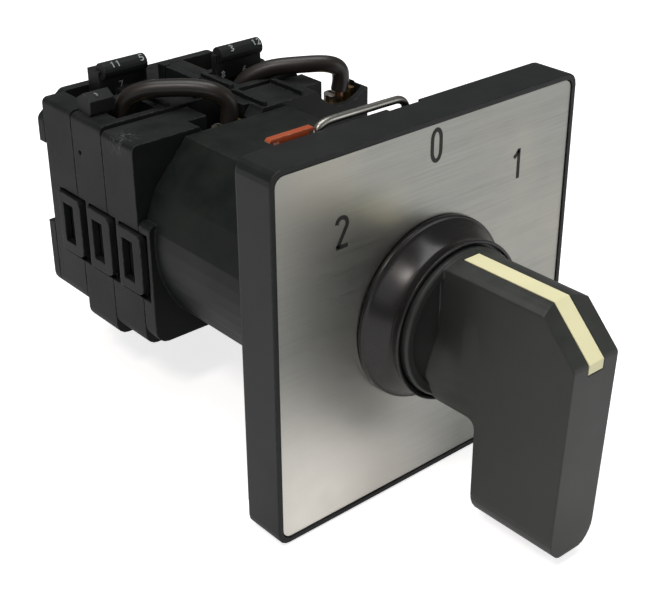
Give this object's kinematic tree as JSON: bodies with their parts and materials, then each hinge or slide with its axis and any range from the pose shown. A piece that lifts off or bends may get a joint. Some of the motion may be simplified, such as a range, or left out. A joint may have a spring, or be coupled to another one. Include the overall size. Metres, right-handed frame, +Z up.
{
  "type": "rotary cam switch",
  "caption": "Panel-mounted rotary cam switch: a pistol handle on a square front plate turns a shaft whose cams open and close contacts in a stacked block behind the panel.",
  "frame": {"origin": "on the shaft axis, in the plane of the panel's front face, which is the rear face of the mounting plate behind the square front frame", "axes": "+Y along the shaft from the handle to the contact block, +Z up, +X to the right seen from the front"},
  "size_m": [0.06, 0.1082, 0.0614],
  "materials": {
    "housing_black": "satin moulded, slightly worn",
    "frame_black": "fine satin",
    "handle_black": "satin",
    "brushed_aluminium": "brushed across",
    "cream_stripe": "satin",
    "orange_slide": "satin",
    "steel": "dull plated",
    "brass": "dull",
    "natural_nylon": "satin",
    "cable_insulation": "semi gloss"
  },
  "bodies": {
    "switch_body": {"front_frame": "frame_black", "legend_plate": "brushed_aluminium", "mounting_plate": "housing_black", "collar": "handle_black", "ring_nut": "natural_nylon", "mounting_body": "housing_black", "detent_spring": "steel", "rear_cover": "housing_black", "wire_bail": "steel", "jumper_1": "cable_insulation", "jumper_2": "cable_insulation", "stage_housing_1": "housing_black", "contact_spring_left_1": "steel", "contact_spring_right_1": "steel", "stage_housing_2": "housing_black", "contact_spring_left_2": "steel", "contact_spring_right_2": "steel", "stage_housing_3": "housing_black", "contact_spring_left_3": "steel", "contact_spring_right_3": "steel", "terminal_1": "brass", "terminal_2": "brass", "terminal_3": "brass", "terminal_4": "brass", "terminal_5": "brass", "terminal_6": "brass", "terminal_7": "brass", "terminal_8": "brass", "terminal_9": "brass", "terminal_10": "brass", "terminal_11": "brass", "terminal_12": "brass", "clamp_screw_1": "steel", "clamp_screw_3": "steel", "clamp_screw_5": "steel", "clamp_screw_7": "steel", "clamp_screw_9": "steel", "clamp_screw_11": "steel"},
    "rotor": {"handle": "handle_black", "index_stripe": "cream_stripe", "handle_screw": "steel", "drive_shaft": "steel", "detent_wheel": "natural_nylon", "cam_1": "natural_nylon", "cam_2": "natural_nylon", "cam_3": "natural_nylon"},
    "slide": {"locking_slide": "orange_slide"},
    "plunger_left_1": {"plunger_left_1": "natural_nylon", "bridge_left_1": "brass"},
    "plunger_right_1": {"plunger_right_1": "natural_nylon", "bridge_right_1": "brass"},
    "plunger_left_2": {"plunger_left_2": "natural_nylon", "bridge_left_2": "brass"},
    "plunger_right_2": {"plunger_right_2": "natural_nylon", "bridge_right_2": "brass"},
    "plunger_left_3": {"plunger_left_3": "natural_nylon", "bridge_left_3": "brass"},
    "plunger_right_3": {"plunger_right_3": "natural_nylon", "bridge_right_3": "brass"}
  },
  "joints": [
    {"name": "handle_turn", "type": "hinge", "parent": "switch_body", "child": "rotor", "pos_m": [0, 0, 0], "axis": [0, 1, 0], "range_deg": [-45, 45], "deforming": ["detent_spring"]},
    {"name": "plunger_left_1_travel", "type": "slide", "parent": "switch_body", "child": "plunger_left_1", "axis": [-1, 0, 0], "range_m": [-0.00101, 0.00101], "deforming": ["contact_spring_left_1"]},
    {"name": "plunger_right_1_travel", "type": "slide", "parent": "switch_body", "child": "plunger_right_1", "axis": [1, 0, 0], "range_m": [-0.00101, 0.00101], "deforming": ["contact_spring_right_1"]},
    {"name": "plunger_left_2_travel", "type": "slide", "parent": "switch_body", "child": "plunger_left_2", "axis": [-1, 0, 0], "range_m": [-0.00101, 0.00101], "deforming": ["contact_spring_left_2"]},
    {"name": "plunger_right_2_travel", "type": "slide", "parent": "switch_body", "child": "plunger_right_2", "axis": [1, 0, 0], "range_m": [-0.00101, 0.00101], "deforming": ["contact_spring_right_2"]},
    {"name": "plunger_left_3_travel", "type": "slide", "parent": "switch_body", "child": "plunger_left_3", "axis": [-1, 0, 0], "range_m": [-0.00101, 0.00101], "deforming": ["contact_spring_left_3"]},
    {"name": "plunger_right_3_travel", "type": "slide", "parent": "switch_body", "child": "plunger_right_3", "axis": [1, 0, 0], "range_m": [-0.00101, 0.00101], "deforming": ["contact_spring_right_3"]},
    {"name": "locking_slide_travel", "type": "slide", "parent": "switch_body", "child": "slide", "axis": [1, 0, 0], "range_m": [-0.003, 0]}
  ],
  "couplings": [
    {"joint": "plunger_left_1_travel", "follows": "handle_turn", "m_per_rad": 0.0012732},
    {"joint": "plunger_right_1_travel", "follows": "handle_turn", "m_per_rad": 0.0012732},
    {"joint": "plunger_left_2_travel", "follows": "handle_turn", "m_per_rad": -0.0012732},
    {"joint": "plunger_right_2_travel", "follows": "handle_turn", "m_per_rad": -0.0012732},
    {"joint": "plunger_left_3_travel", "follows": "handle_turn", "m_per_rad": 0.0012732},
    {"joint": "plunger_right_3_travel", "follows": "handle_turn", "m_per_rad": 0.0012732}
  ]
}
